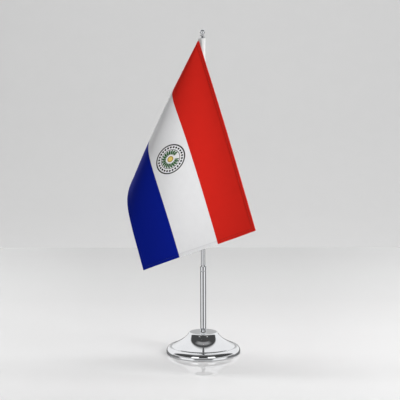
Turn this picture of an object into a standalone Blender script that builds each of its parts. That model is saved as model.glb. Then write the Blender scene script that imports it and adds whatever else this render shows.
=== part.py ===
"""Desk flag stand: weighted spun base, two-section telescopic mast with a
ball finial, and a small tricolour flag hanging in a soft fold.

Metres, +Z up.  Origin on the mast axis in the plane of the felt foot.
"""
import math

import bmesh
import bpy
from mathutils import Matrix, Vector

MM = 0.001

# ------------------------------------------------------------ dimensions
GAP = 0.3 * MM                 # clearance kept between touching parts

BASE_R = 47.0 * MM             # outer rim of the base
BASE_TOP_Z = 26.7 * MM         # flat land under the mast
BASE_LAND_R = 16.2 * MM        # radius of that land
LAND_ROUND_R = 2.75 * MM       # rounding between the land and the flank
KNEE_R, KNEE_Z = 41.0 * MM, 8.6 * MM   # where the hollow flank turns over into the lip
FLANK_SLOPE = 0.5              # rise of the flank towards the middle, at the knee
HOLLOW_Z, HOLLOW_R, HOLLOW_FADE = 6.1 * MM, 18.0 * MM, 4.6 * MM   # steeper part under the land
LIP_R, LIP_Z = 26.7 * MM, 1.2 * MM     # centre of the lip's ellipse
LIP_RX, LIP_RZ = 20.3 * MM, 10.44 * MM
SHELL_T = 1.2 * MM             # sheet thickness, measured along Z

FELT_R, FELT_T = 44.5 * MM, 1.4 * MM
PLATE_R, PLATE_T = 44.6 * MM, 0.8 * MM
BALLAST_R = 41.8 * MM
BORE_R = 2.6 * MM              # clearance bore for the M4 foot screw
COUNTERBORE_R = 6.6 * MM
COUNTERBORE_Z = 19.1 * MM

SCREW_R = 2.0 * MM
SCREW_HEAD_R, SCREW_HEAD_T = 3.8 * MM, 2.8 * MM
SCREW_LENGTH = 16.0 * MM
WASHER_R, WASHER_T = 5.0 * MM, 1.0 * MM
SPRING_WASHER_R, SPRING_WASHER_T = 3.9 * MM, 0.9 * MM

LOWER_R, LOWER_BORE_R = 3.7 * MM, 3.3 * MM
LOWER_TOP_Z = 105.1 * MM
PLUG_R, PLUG_L = 3.0 * MM, 6.2 * MM
COLLAR_L = 6.8 * MM
GROOVE = 0.9 * MM              # shadow line left between the lower tube and the collar
COLLAR_BORE_R = 2.85 * MM
SPIGOT_R, SPIGOT_L = 3.05 * MM, 3.6 * MM

UPPER_R, UPPER_BORE_R = 2.6 * MM, 2.1 * MM
UPPER_TOP_Z = 396.4 * MM
SLEEVE_R, SLEEVE_BORE_R, SLEEVE_L = 3.02 * MM, 1.6 * MM, 8.0 * MM
SLEEVE_SLIT_DEG = 24.0
SHANK_R, FLANGE_R, FLANGE_T = 1.25 * MM, 2.6 * MM, 1.0 * MM

NECK_R = 1.9 * MM
BALL_R = 3.3 * MM
BALL_Z = 404.9 * MM
STEM_R, STEM_L = 1.75 * MM, 12.0 * MM
RING_R, RING_WIRE_R, RING_TILT_DEG = 3.15 * MM, 0.38 * MM, 22.0

FLAG_LENGTH, FLAG_WIDTH, CLOTH_T = 250.0 * MM, 150.0 * MM, 0.6 * MM
FLAG_TOP = Vector((-4.85 * MM, -1.4 * MM, 395.0 * MM))
HOIST_R, HOIST_BORE_R = 3.9 * MM, 3.1 * MM
HEADING = -4.874               # plan heading in which the cloth leaves the hoist
FOLD_AT, FOLD_BLEND = 0.827, 0.06      # generator angle of the fold, from the hoist
TURN_BACK = -4.527             # turning rate of the drape behind the fold
TURN_FRONT, TURN_RISE = -2.051, 3.474  # in front of it: at the fold, and what is added to the top edge
TURN_CREST, CREST_WIDTH = -3.114, 0.04
BOW_FOLD, BOW_TOP = 4.65 * MM, 1.0 * MM    # how far the generators bow sideways
BOW_SPAN = 250.0 * MM

FAN_COLUMNS, FAN_ROWS = 42, 9  # grid along and down the drape's generators
FAN_START = 0.012              # the sewn corner is snipped this far down each one

SEG_BASE, SEG_TUBE = 56, 28


# --------------------------------------------------------------- helpers
def clear_scene():
    for ob in list(bpy.data.objects):
        bpy.data.objects.remove(ob, do_unlink=True)


def collection(name):
    col = bpy.data.collections.new(name)
    bpy.context.scene.collection.children.link(col)
    return col


def material(name, color, roughness, metallic=0.0):
    mat = bpy.data.materials.new(name)
    mat.use_nodes = True
    bsdf = mat.node_tree.nodes["Principled BSDF"]
    bsdf.inputs["Base Color"].default_value = (*color, 1.0)
    bsdf.inputs["Roughness"].default_value = roughness
    bsdf.inputs["Metallic"].default_value = metallic
    return mat


def move_to(ob, col):
    for c in list(ob.users_collection):
        c.objects.unlink(ob)
    col.objects.link(ob)


def dress(ob, col, mat, parent=None, sharp_deg=35.0):
    move_to(ob, col)
    if ob.type == 'MESH':
        ob.data.shade_smooth()
        ob.data.set_sharp_from_angle(angle=math.radians(sharp_deg))
    ob.data.materials.clear()
    ob.data.materials.append(mat)
    if parent is not None:
        ob.parent = parent
        ob.matrix_parent_inverse = parent.matrix_world.inverted()
    return ob


def turned(name, profile, closed=True, segments=SEG_TUBE, z0=0.0):
    """Profile points (radius, z) listed down the outer side, turned about Z."""
    bm = bmesh.new()
    verts = [bm.verts.new((r, 0.0, z - z0)) for r, z in profile]
    for a, b in zip(verts, verts[1:]):
        bm.edges.new((a, b))
    if closed:
        bm.edges.new((verts[-1], verts[0]))
    mesh = bpy.data.meshes.new(name)
    bm.to_mesh(mesh)
    bm.free()
    ob = bpy.data.objects.new(name, mesh)
    ob.location = (0.0, 0.0, z0)
    bpy.context.scene.collection.objects.link(ob)
    mod = ob.modifiers.new("Turn", 'SCREW')
    mod.axis = 'Z'
    mod.angle = math.tau
    mod.steps = segments
    mod.render_steps = segments
    mod.use_smooth_shade = True
    mod.use_merge_vertices = True
    mod.merge_threshold = 1e-6
    return ob


def tube(name, r_out, r_in, z_top, z_bottom, chamfer=0.0, segments=SEG_TUBE, z0=0.0):
    c = chamfer
    outer = [(r_out - c, z_top), (r_out, z_top - c), (r_out, z_bottom + c), (r_out - c, z_bottom)] \
        if c else [(r_out, z_top), (r_out, z_bottom)]
    return turned(name, outer + [(r_in, z_bottom), (r_in, z_top)], segments=segments, z0=z0)


def split_ring(name, r_out, r_in, slit_deg, height, z_mid, steps):
    """Flat C outline raised to a split sleeve or spring washer."""
    half = math.radians(slit_deg) / 2
    arc = [half + (math.tau - 2 * half) * i / steps for i in range(steps + 1)]
    pts = [(r_out * math.cos(a), r_out * math.sin(a)) for a in arc]
    pts += [(r_in * math.cos(a), r_in * math.sin(a)) for a in reversed(arc)]
    cu = bpy.data.curves.new(name, 'CURVE')
    cu.dimensions = '2D'
    cu.fill_mode = 'BOTH'
    cu.extrude = height / 2
    sp = cu.splines.new('POLY')
    sp.points.add(len(pts) - 1)
    for p, (x, y) in zip(sp.points, pts):
        p.co = (x, y, 0.0, 1.0)
    sp.use_cyclic_u = True
    ob = bpy.data.objects.new(name, cu)
    ob.location = (0.0, 0.0, z_mid)
    bpy.context.scene.collection.objects.link(ob)
    return ob


def pivot(name, location, col):
    empty = bpy.data.objects.new(name, None)
    empty.empty_display_size = 10 * MM
    empty.location = location
    col.objects.link(empty)
    bpy.context.view_layer.update()
    return empty


# ------------------------------------------------------------ base shape
def flank_z(r):
    if r > KNEE_R:
        return LIP_Z + LIP_RZ * math.sqrt(max(0.0, 1.0 - ((r - LIP_R) / LIP_RX) ** 2))
    return KNEE_Z + FLANK_SLOPE * (KNEE_R - r) + HOLLOW_Z * math.exp(-(r - HOLLOW_R) / HOLLOW_FADE)


def base_outer(steps=9, lip_steps=6):
    pts = [(BASE_LAND_R, BASE_TOP_Z)]
    for deg in (20.0, 40.0, 58.0):
        a = math.radians(deg)
        pts.append((BASE_LAND_R + LAND_ROUND_R * math.sin(a), BASE_TOP_Z - LAND_ROUND_R * (1 - math.cos(a))))
    r_start = BASE_LAND_R + 3.3 * MM
    for i in range(steps + 1):
        w = (i / steps) ** 1.25
        r = r_start + (KNEE_R - r_start) * w
        pts.append((r, flank_z(r)))
    a0 = math.asin((KNEE_R - LIP_R) / LIP_RX)
    a1 = math.radians(93.0)
    for i in range(1, lip_steps + 1):
        a = a0 + (a1 - a0) * i / lip_steps
        pts.append((LIP_R + LIP_RX * math.sin(a), LIP_Z + LIP_RZ * math.cos(a)))
    return pts


def base_inner(steps=5):
    """Underside of the sheet, listed from the rim up to the bore."""
    pts = [(PLATE_R + 0.8 * MM, 1.2 * MM), (PLATE_R + 0.8 * MM, 3.4 * MM)]
    r_end = BASE_LAND_R + 0.6 * MM
    for i in range(steps + 1):
        r = 43.4 * MM + (r_end - 43.4 * MM) * i / steps
        pts.append((r, flank_z(r + 0.5 * MM) - SHELL_T))
    pts[-1] = (r_end - 0.8 * MM, BASE_TOP_Z - SHELL_T)
    return pts


# ----------------------------------------------------------- flag drape
def drape_table(steps=180):
    """Directions of the straight generators that fan out from the top of the
    hoist: a unit-speed curve on the sphere, so the cloth keeps its size."""
    def rate(s):
        front = 1.0 / (1.0 + math.exp(-(s - FOLD_AT) / FOLD_BLEND))
        rise = TURN_RISE * (s - FOLD_AT) / (math.pi / 2 - FOLD_AT)
        crest = TURN_CREST * math.exp(-((s - FOLD_AT) / CREST_WIDTH) ** 2)
        return TURN_BACK * (1.0 - front) + (TURN_FRONT + rise) * front + crest

    def slope(d, t, s):
        return t, -d + rate(s) * d.cross(t)

    h = (math.pi / 2) / steps
    d = Vector((0.0, 0.0, -1.0))
    t = Vector((math.cos(HEADING), math.sin(HEADING), 0.0))
    table = [d.copy()]
    for i in range(steps):
        s = i * h
        a1, b1 = slope(d, t, s)
        a2, b2 = slope(d + a1 * h / 2, t + b1 * h / 2, s + h / 2)
        a3, b3 = slope(d + a2 * h / 2, t + b2 * h / 2, s + h / 2)
        a4, b4 = slope(d + a3 * h, t + b3 * h, s + h)
        d = (d + (a1 + 2 * a2 + 2 * a3 + a4) * h / 6).normalized()
        t = t + (b1 + 2 * b2 + 2 * b3 + b4) * h / 6
        t = (t - d * d.dot(t)).normalized()
        table.append(d.copy())
    return table


def fan(x, y):
    """Flat cloth point for a grid whose columns are the drape's generators.
    One column runs to the free lower corner, so the outline keeps it."""
    corner = math.atan2(FLAG_LENGTH, FLAG_WIDTH)
    split = round(FAN_COLUMNS * 2 / 3) / FAN_COLUMNS
    phi = corner * x / split if x <= split else corner + (math.pi / 2 - corner) * (x - split) / (1 - split)
    if x <= split:
        reach = FLAG_WIDTH / math.cos(phi)
    else:
        reach = FLAG_LENGTH / math.sin(phi)
    r = reach * (FAN_START + (1 - FAN_START) * y)
    return r * math.sin(phi), r * math.cos(phi)


def drape(u, v, table):
    """Place of the cloth point u along the top edge and v down the hoist."""
    r = math.hypot(u, v)
    s = math.atan2(u, v) / (math.pi / 2) * (len(table) - 1) if r > 0 else 0.0
    i = min(int(s), len(table) - 2)
    d = table[i].lerp(table[i + 1], s - i).normalized()
    p = FLAG_TOP + d * r
    phi = math.atan2(u, v) if r > 0 else 0.0
    bow = math.sin(math.pi * min(r / BOW_SPAN, 1.35))
    at_fold = math.exp(-((phi - 0.80) / 0.30) ** 2)
    at_top = max(0.0, (phi - 0.80) / (math.pi / 2 - 0.80)) ** 1.5
    p.x += bow * (BOW_TOP * at_top - BOW_FOLD * at_fold)
    return p


# ------------------------------------------------------------------ build
def build():
    clear_scene()
    col = collection("desk_flag_stand")
    cutters = collection("cutters")

    chrome = (0.86, 0.87, 0.88)
    m = {
        "felt": material("felt_green", (0.05, 0.09, 0.06), 0.95),
        "plate": material("plate_steel", (0.42, 0.43, 0.44), 0.45, 1.0),
        "iron": material("ballast_iron", (0.16, 0.16, 0.17), 0.7, 0.6),
        "shell": material("base_chrome", chrome, 0.06, 1.0),
        "screw": material("screw_zinc", (0.55, 0.56, 0.58), 0.35, 1.0),
        "spring": material("spring_steel", (0.30, 0.30, 0.32), 0.4, 1.0),
        "washer": material("washer_zinc", (0.60, 0.61, 0.62), 0.35, 1.0),
        "plug": material("plug_brass", (0.72, 0.56, 0.28), 0.35, 1.0),
        "lower": material("lower_tube_chrome", chrome, 0.07, 1.0),
        "collar": material("collar_chrome", chrome, 0.08, 1.0),
        "grip": material("grip_brass", (0.74, 0.58, 0.30), 0.3, 1.0),
        "core": material("core_nylon", (0.82, 0.81, 0.77), 0.5),
        "upper": material("upper_tube_chrome", chrome, 0.07, 1.0),
        "stem": material("stem_steel", (0.50, 0.51, 0.52), 0.35, 1.0),
        "neck": material("neck_chrome", chrome, 0.08, 1.0),
        "ball": material("ball_chrome", chrome, 0.04, 1.0),
        "ring": material("ring_steel", (0.35, 0.35, 0.36), 0.3, 1.0),
        "hoist": material("hoist_white", (0.86, 0.86, 0.85), 0.7),
        "cloth": material("cloth_satin", (0.70, 0.20, 0.16), 0.5),
    }

    # --- weighted base ---------------------------------------------------
    felt = turned("felt_pad", [(0.0, FELT_T), (FELT_R, FELT_T), (FELT_R, 0.0), (0.0, 0.0)],
                  closed=False, segments=SEG_BASE)
    dress(felt, col, m["felt"])

    plate_z = FELT_T + GAP
    plate = turned("base_plate", [(0.0, plate_z + PLATE_T), (PLATE_R, plate_z + PLATE_T),
                                  (PLATE_R, plate_z), (0.0, plate_z)],
                   closed=False, segments=SEG_BASE)
    dress(plate, col, m["plate"])

    shell = turned("base_shell", base_outer() + base_inner()
                   + [(BORE_R, BASE_TOP_Z - SHELL_T), (BORE_R, BASE_TOP_Z)], segments=SEG_BASE)
    dress(shell, col, m["shell"])

    floor_z = plate_z + PLATE_T + GAP
    top_z = BASE_TOP_Z - SHELL_T - GAP
    flank = []
    for i in range(6):
        r = BASE_LAND_R - 1.2 * MM + (BALLAST_R - BASE_LAND_R + 1.2 * MM) * i / 5
        flank.append((r, min(top_z, flank_z(r + 1.6 * MM) - SHELL_T - 2 * GAP)))
    ballast = turned("base_ballast", [(BORE_R, top_z)] + flank
                     + [(BALLAST_R, floor_z), (COUNTERBORE_R, floor_z),
                        (COUNTERBORE_R, COUNTERBORE_Z), (BORE_R, COUNTERBORE_Z)],
                     segments=SEG_BASE)
    dress(ballast, col, m["iron"])

    # --- foot screw stack, in the ballast's counterbore --------------------
    flat_top = COUNTERBORE_Z - GAP
    washer = tube("flat_washer", WASHER_R, SCREW_R + GAP, flat_top, flat_top - WASHER_T, 0.15 * MM)
    dress(washer, col, m["washer"])
    spring_top = flat_top - WASHER_T - GAP
    spring = split_ring("spring_washer", SPRING_WASHER_R, SCREW_R + GAP, 16.0,
                        SPRING_WASHER_T, spring_top - SPRING_WASHER_T / 2, 28)
    dress(spring, col, m["spring"])
    head_top = spring_top - SPRING_WASHER_T - GAP
    tip = head_top + SCREW_LENGTH
    screw = turned("foot_screw", [
        (0.0, tip), (SCREW_R - 0.5 * MM, tip), (SCREW_R, tip - 0.6 * MM), (SCREW_R, head_top),
        (SCREW_HEAD_R, head_top), (SCREW_HEAD_R, head_top - SCREW_HEAD_T + 0.4 * MM),
        (SCREW_HEAD_R - 0.4 * MM, head_top - SCREW_HEAD_T), (0.0, head_top - SCREW_HEAD_T)],
        closed=False)
    bpy.ops.mesh.primitive_cube_add(size=1.0, location=(0.0, 0.0, head_top - SCREW_HEAD_T))
    slot = bpy.context.active_object
    slot.name = "screw_slot_cutter"
    slot.data.transform(Matrix.Diagonal((10 * MM, 1.1 * MM, 2.6 * MM, 1.0)))
    move_to(slot, cutters)
    slot.hide_render = True
    slot.display_type = 'WIRE'
    cut = screw.modifiers.new("Slot", 'BOOLEAN')
    cut.operation = 'DIFFERENCE'
    cut.solver = 'EXACT'
    cut.object = slot
    dress(screw, col, m["screw"])

    # --- lower mast --------------------------------------------------------
    lower_z = BASE_TOP_Z + GAP
    plug = tube("tube_plug", PLUG_R, SCREW_R + GAP, lower_z + PLUG_L, lower_z, 0.25 * MM)
    dress(plug, col, m["plug"])
    lower = turned("lower_tube", [
        (LOWER_R - 0.35 * MM, LOWER_TOP_Z), (LOWER_R, LOWER_TOP_Z - 0.35 * MM),
        (LOWER_R, lower_z), (LOWER_BORE_R, lower_z), (LOWER_BORE_R, LOWER_TOP_Z)])
    dress(lower, col, m["lower"])
    collar_z = LOWER_TOP_Z + GROOVE
    collar_top = collar_z + COLLAR_L
    spigot_z = collar_z - SPIGOT_L
    collar = turned("tube_collar", [
        (COLLAR_BORE_R + 0.1 * MM, collar_top), (COLLAR_BORE_R + 0.35 * MM, collar_top - 0.05 * MM),
        (LOWER_R - 0.1 * MM, collar_top - 1.3 * MM), (LOWER_R, collar_top - 1.7 * MM),
        (LOWER_R, collar_z + 0.35 * MM), (LOWER_R - 0.35 * MM, collar_z),
        (SPIGOT_R, collar_z), (SPIGOT_R, spigot_z), (COLLAR_BORE_R, spigot_z),
        (COLLAR_BORE_R, collar_top - 0.3 * MM)])
    dress(collar, col, m["collar"])

    # --- sliding joint -------------------------------------------------------
    grip_top = spigot_z - GAP
    slide = pivot("mast_slide_axis", (0.0, 0.0, grip_top), col)
    grip = split_ring("friction_sleeve", SLEEVE_R, SLEEVE_BORE_R, SLEEVE_SLIT_DEG,
                      SLEEVE_L, grip_top - SLEEVE_L / 2, 30)
    dress(grip, col, m["grip"], slide)

    # --- upper mast ----------------------------------------------------------
    turn = pivot("mast_turn_axis", (0.0, 0.0, grip_top), col)
    end_z = grip_top + GAP + FLANGE_T + GAP
    core_top = end_z + 9.0 * MM
    core_bottom = grip_top - SLEEVE_L - GAP - 1.2 * MM
    core = turned("slider_core", [
        (0.0, core_top), (UPPER_BORE_R - GAP, core_top), (UPPER_BORE_R - GAP, end_z - GAP),
        (FLANGE_R, end_z - GAP), (FLANGE_R, grip_top + GAP), (SHANK_R, grip_top + GAP),
        (SHANK_R, core_bottom + 1.2 * MM), (FLANGE_R, core_bottom + 1.2 * MM),
        (FLANGE_R, core_bottom + 0.3 * MM), (FLANGE_R - 0.3 * MM, core_bottom), (0.0, core_bottom)],
        closed=False)
    dress(core, col, m["core"], turn)
    upper = tube("upper_tube", UPPER_R, UPPER_BORE_R, UPPER_TOP_Z, end_z, 0.25 * MM)
    dress(upper, col, m["upper"], turn)

    neck_z = UPPER_TOP_Z + GAP
    neck_top = BALL_Z - BALL_R - GAP
    stem = turned("finial_stem", [
        (0.0, UPPER_TOP_Z), (STEM_R, UPPER_TOP_Z), (STEM_R, UPPER_TOP_Z - STEM_L + 0.5 * MM),
        (STEM_R - 0.5 * MM, UPPER_TOP_Z - STEM_L), (0.0, UPPER_TOP_Z - STEM_L)], closed=False)
    dress(stem, col, m["stem"], turn)
    neck = turned("finial_neck", [
        (0.0, neck_top), (NECK_R - 0.2 * MM, neck_top), (NECK_R, neck_top - 0.2 * MM),
        (NECK_R, neck_z), (0.0, neck_z)], closed=False)
    dress(neck, col, m["neck"], turn)
    bpy.ops.mesh.primitive_uv_sphere_add(segments=28, ring_count=16, radius=BALL_R,
                                         location=(0.0, 0.0, BALL_Z))
    ball = bpy.context.active_object
    ball.name = "finial_ball"
    dress(ball, col, m["ball"], turn, sharp_deg=60.0)

    # --- flag ------------------------------------------------------------------
    swivel = pivot("flag_swivel_axis", (0.0, 0.0, UPPER_TOP_Z), col)
    bpy.ops.mesh.primitive_torus_add(major_radius=RING_R, minor_radius=RING_WIRE_R,
                                     major_segments=36, minor_segments=8,
                                     location=(0.0, 0.0, UPPER_TOP_Z + 3.0 * MM),
                                     rotation=(0.0, math.radians(RING_TILT_DEG), 0.0))
    ring = bpy.context.active_object
    ring.name = "neck_ring"
    dress(ring, col, m["ring"], swivel, sharp_deg=60.0)

    cap_z = UPPER_TOP_Z + GAP
    hoist_bottom = FLAG_TOP.z - FLAG_WIDTH
    hoist = turned("hoist_sleeve", [
        (NECK_R + GAP, cap_z + 0.6 * MM), (HOIST_R - 0.5 * MM, cap_z + 0.6 * MM),
        (HOIST_R, cap_z + 0.1 * MM), (HOIST_R, hoist_bottom), (HOIST_BORE_R, hoist_bottom),
        (HOIST_BORE_R, cap_z), (NECK_R + GAP, cap_z)])
    dress(hoist, col, m["hoist"], swivel)

    bpy.ops.mesh.primitive_grid_add(x_subdivisions=FAN_COLUMNS, y_subdivisions=FAN_ROWS, size=1.0)
    cloth = bpy.context.active_object
    cloth.name = "flag_cloth"
    table = drape_table()
    for vert in cloth.data.vertices:
        vert.co = drape(*fan(vert.co.x + 0.5, 0.5 - vert.co.y), table)
    solid = cloth.modifiers.new("Thickness", 'SOLIDIFY')
    solid.thickness = CLOTH_T
    solid.offset = 0.0
    dress(cloth, col, m["cloth"], swivel, sharp_deg=60.0)


build()
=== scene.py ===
import math

import bmesh
import bpy
import numpy as np
from mathutils import Matrix, Vector


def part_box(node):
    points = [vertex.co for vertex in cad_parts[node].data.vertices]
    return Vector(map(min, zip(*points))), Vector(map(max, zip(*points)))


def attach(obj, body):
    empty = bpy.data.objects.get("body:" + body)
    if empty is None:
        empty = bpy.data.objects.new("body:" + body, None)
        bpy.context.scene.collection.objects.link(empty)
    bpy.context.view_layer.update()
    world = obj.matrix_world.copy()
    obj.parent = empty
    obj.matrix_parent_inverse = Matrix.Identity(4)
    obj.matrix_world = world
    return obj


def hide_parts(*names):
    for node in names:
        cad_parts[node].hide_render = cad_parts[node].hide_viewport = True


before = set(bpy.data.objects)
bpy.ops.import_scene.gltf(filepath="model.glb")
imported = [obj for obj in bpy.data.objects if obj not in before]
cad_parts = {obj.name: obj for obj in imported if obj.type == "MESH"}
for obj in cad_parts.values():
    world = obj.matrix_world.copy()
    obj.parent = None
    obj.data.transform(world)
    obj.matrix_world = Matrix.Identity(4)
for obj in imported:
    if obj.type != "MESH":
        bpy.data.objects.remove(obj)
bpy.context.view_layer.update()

MM = 0.001

# =====================================================================
# camera and studio
# =====================================================================
CAM_X, CAM_DIST, CAM_Z = -0.00365, 1.600, 0.4139
CAM_PITCH = 0.1355
CAM_ROLL = -0.0032
FOCAL_PX = 1287.1

cam_data = bpy.data.cameras.new("camera")
cam_data.lens = FOCAL_PX / 400.0 * 36.0
cam_data.sensor_width = 36.0
cam_data.clip_start = 0.02
cam_data.clip_end = 60.0
cam_data.dof.use_dof = False
camera = bpy.data.objects.new("camera", cam_data)
camera.location = (CAM_X, -CAM_DIST, CAM_Z)
camera.rotation_euler = (Matrix.Rotation(math.pi / 2 - CAM_PITCH, 3, 'X')
                         @ Matrix.Rotation(CAM_ROLL, 3, 'Z')).to_euler()
bpy.context.scene.collection.objects.link(camera)
bpy.context.scene.camera = camera
bpy.context.scene.view_settings.view_transform = 'Standard'


# ---------------------------------------------------------------- nodes
class Nodes:
    """Small helper that wires shader nodes by function calls."""

    def __init__(self, tree):
        self.tree = tree
        self.n = tree.nodes
        self.l = tree.links

    def put(self, socket, value):
        if value is None:
            return
        if isinstance(value, bpy.types.NodeSocket):
            self.l.new(value, socket)
        else:
            socket.default_value = value

    def math(self, op, a, b=None, c=None, clamp=False):
        node = self.n.new("ShaderNodeMath")
        node.operation = op
        node.use_clamp = clamp
        self.put(node.inputs[0], a)
        if b is not None:
            self.put(node.inputs[1], b)
        if c is not None:
            self.put(node.inputs[2], c)
        return node.outputs[0]

    def vec(self, op, a, b=None, scale=None):
        node = self.n.new("ShaderNodeVectorMath")
        node.operation = op
        self.put(node.inputs[0], a)
        if b is not None:
            self.put(node.inputs[1], b)
        if scale is not None:
            self.put(node.inputs["Scale"], scale)
        return node.outputs["Value"] if op in ('LENGTH', 'DOT_PRODUCT') else node.outputs[0]

    def sep(self, v):
        node = self.n.new("ShaderNodeSeparateXYZ")
        self.put(node.inputs[0], v)
        return node.outputs[0], node.outputs[1], node.outputs[2]

    def comb(self, x, y, z=0.0):
        node = self.n.new("ShaderNodeCombineXYZ")
        for s, v in zip(node.inputs, (x, y, z)):
            self.put(s, v)
        return node.outputs[0]

    def noise(self, vector, scale, detail=3.0, rough=0.5, distort=0.0):
        node = self.n.new("ShaderNodeTexNoise")
        self.put(node.inputs["Vector"], vector)
        node.inputs["Scale"].default_value = scale
        node.inputs["Detail"].default_value = detail
        node.inputs["Roughness"].default_value = rough
        node.inputs["Distortion"].default_value = distort
        return node.outputs["Fac"]

    def voronoi(self, vector, scale, feature='F1', out="Distance"):
        node = self.n.new("ShaderNodeTexVoronoi")
        node.feature = feature
        self.put(node.inputs["Vector"], vector)
        node.inputs["Scale"].default_value = scale
        return node.outputs[out]

    def ramp(self, fac, stops, interp='LINEAR'):
        node = self.n.new("ShaderNodeValToRGB")
        node.color_ramp.interpolation = interp
        el = node.color_ramp.elements
        while len(el) < len(stops):
            el.new(0.5)
        for e, (pos, col) in zip(el, stops):
            e.position = pos
            e.color = (*col, 1.0) if len(col) == 3 else col
        self.put(node.inputs[0], fac)
        return node.outputs[0]

    def span(self, v, a, b, lo=0.0, hi=1.0, smooth=False):
        node = self.n.new("ShaderNodeMapRange")
        node.interpolation_type = 'SMOOTHSTEP' if smooth else 'LINEAR'
        for s, x in zip(node.inputs[:5], (v, a, b, lo, hi)):
            self.put(s, x)
        return node.outputs[0]

    def mix(self, fac, a, b, mode='MIX'):
        node = self.n.new("ShaderNodeMix")
        node.data_type = 'RGBA'
        node.blend_type = mode
        self.put(node.inputs[0], fac)
        for s, v in ((node.inputs[6], a), (node.inputs[7], b)):
            self.put(s, (*v, 1.0) if isinstance(v, tuple) and len(v) == 3 else v)
        return node.outputs[2]

    def bump(self, height, strength, distance, normal=None):
        node = self.n.new("ShaderNodeBump")
        node.inputs["Strength"].default_value = strength
        node.inputs["Distance"].default_value = distance
        self.put(node.inputs["Height"], height)
        if normal is not None:
            self.put(node.inputs["Normal"], normal)
        return node.outputs[0]

    def coords(self, which="Object"):
        return self.n.new("ShaderNodeTexCoord").outputs[which]


def lin(r, g, b):
    """sRGB 0-255 to linear."""
    def f(c):
        c /= 255.0
        return c / 12.92 if c <= 0.04045 else ((c + 0.055) / 1.055) ** 2.4
    return f(r), f(g), f(b)


def new_material(name):
    mat = bpy.data.materials.new(name)
    mat.use_nodes = True
    nt = Nodes(mat.node_tree)
    return mat, nt, mat.node_tree.nodes["Principled BSDF"]


# ------------------------------------------------------------- materials
def chrome(name, tint=(0.80, 0.81, 0.83), rough=0.055, smudge=0.5, brushed=0.0):
    mat, nt, p = new_material(name)
    co = nt.coords()
    cloud = nt.noise(co, 55.0, 4.0, 0.6)
    fine = nt.noise(co, 900.0, 2.0, 0.5)
    scratch = nt.noise(nt.vec('MULTIPLY', co, (2600.0, 2600.0, 90.0)), 1.0, 2.0, 0.6)
    p.inputs["Metallic"].default_value = 1.0
    nt.put(p.inputs["Base Color"], nt.mix(nt.span(cloud, 0.35, 0.75), (*tint, 1.0),
                                          tuple(c * 0.94 for c in tint)))
    r = nt.math('ADD', rough, nt.math('MULTIPLY', nt.span(cloud, 0.45, 0.8, 0.0, 1.0), 0.03 * smudge))
    r = nt.math('ADD', r, nt.math('MULTIPLY', nt.span(scratch, 0.62, 0.8, 0.0, 1.0), 0.05 + brushed))
    nt.put(p.inputs["Roughness"], r)
    nt.put(p.inputs["Normal"], nt.bump(nt.math('ADD', nt.math('MULTIPLY', scratch, 0.4), fine), 0.02, 0.00002))
    return mat


def metal(name, color, rough, grain=400.0, depth=0.00006, turned=False, dark=0.75):
    mat, nt, p = new_material(name)
    co = nt.coords()
    if turned:
        x, y, z = nt.sep(co)
        radius = nt.math('SQRT', nt.math('ADD', nt.math('MULTIPLY', x, x), nt.math('MULTIPLY', y, y)))
        g = nt.noise(nt.comb(nt.math('MULTIPLY', radius, 6.0), nt.math('MULTIPLY', z, 6.0), 0.0), grain, 3.0, 0.6)
    else:
        g = nt.noise(co, grain, 5.0, 0.62)
    cloud = nt.noise(co, 70.0, 3.0, 0.5)
    p.inputs["Metallic"].default_value = 1.0
    nt.put(p.inputs["Base Color"], nt.mix(nt.span(nt.math('ADD', nt.math('MULTIPLY', g, 0.6),
                                                          nt.math('MULTIPLY', cloud, 0.4)), 0.35, 0.7),
                                          tuple(c * dark for c in color), (*color, 1.0)))
    nt.put(p.inputs["Roughness"], nt.span(cloud, 0.3, 0.7, rough * 0.85, rough * 1.2))
    nt.put(p.inputs["Normal"], nt.bump(g, 0.5, depth))
    return mat


def cast_iron(name):
    mat, nt, p = new_material(name)
    co = nt.coords()
    grit = nt.noise(co, 1400.0, 6.0, 0.7)
    pits = nt.voronoi(co, 700.0)
    nt.put(p.inputs["Base Color"], nt.ramp(nt.noise(co, 120.0, 4.0, 0.6),
                                           [(0.3, (0.018, 0.018, 0.02)), (0.7, (0.05, 0.048, 0.046))]))
    p.inputs["Metallic"].default_value = 0.55
    p.inputs["Roughness"].default_value = 0.72
    nt.put(p.inputs["Normal"], nt.bump(nt.math('ADD', grit, nt.math('MULTIPLY', pits, 0.5)), 0.7, 0.0003))
    return mat


def felt(name):
    mat, nt, p = new_material(name)
    co = nt.coords()
    fibre = nt.noise(nt.vec('MULTIPLY', co, (1.0, 1.0, 2.5)), 1500.0, 6.0, 0.75, 1.2)
    tuft = nt.noise(co, 260.0, 4.0, 0.6, 0.6)
    f = nt.math('ADD', nt.math('MULTIPLY', fibre, 0.65), nt.math('MULTIPLY', tuft, 0.35))
    nt.put(p.inputs["Base Color"], nt.ramp(f, [(0.3, (0.008, 0.022, 0.014)), (0.7, (0.035, 0.075, 0.05))]))
    p.inputs["Roughness"].default_value = 0.96
    p.inputs["Specular IOR Level"].default_value = 0.15
    p.inputs["Sheen Weight"].default_value = 0.6
    p.inputs["Sheen Roughness"].default_value = 0.6
    nt.put(p.inputs["Normal"], nt.bump(f, 0.8, 0.0004))
    return mat


def plastic(name, color):
    mat, nt, p = new_material(name)
    co = nt.coords()
    g = nt.noise(co, 900.0, 4.0, 0.6)
    nt.put(p.inputs["Base Color"], nt.mix(nt.span(g, 0.3, 0.7), tuple(c * 0.9 for c in color), (*color, 1.0)))
    p.inputs["Roughness"].default_value = 0.42
    p.inputs["Subsurface Weight"].default_value = 0.05
    nt.put(p.inputs["Normal"], nt.bump(g, 0.25, 0.00006))
    return mat


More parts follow.
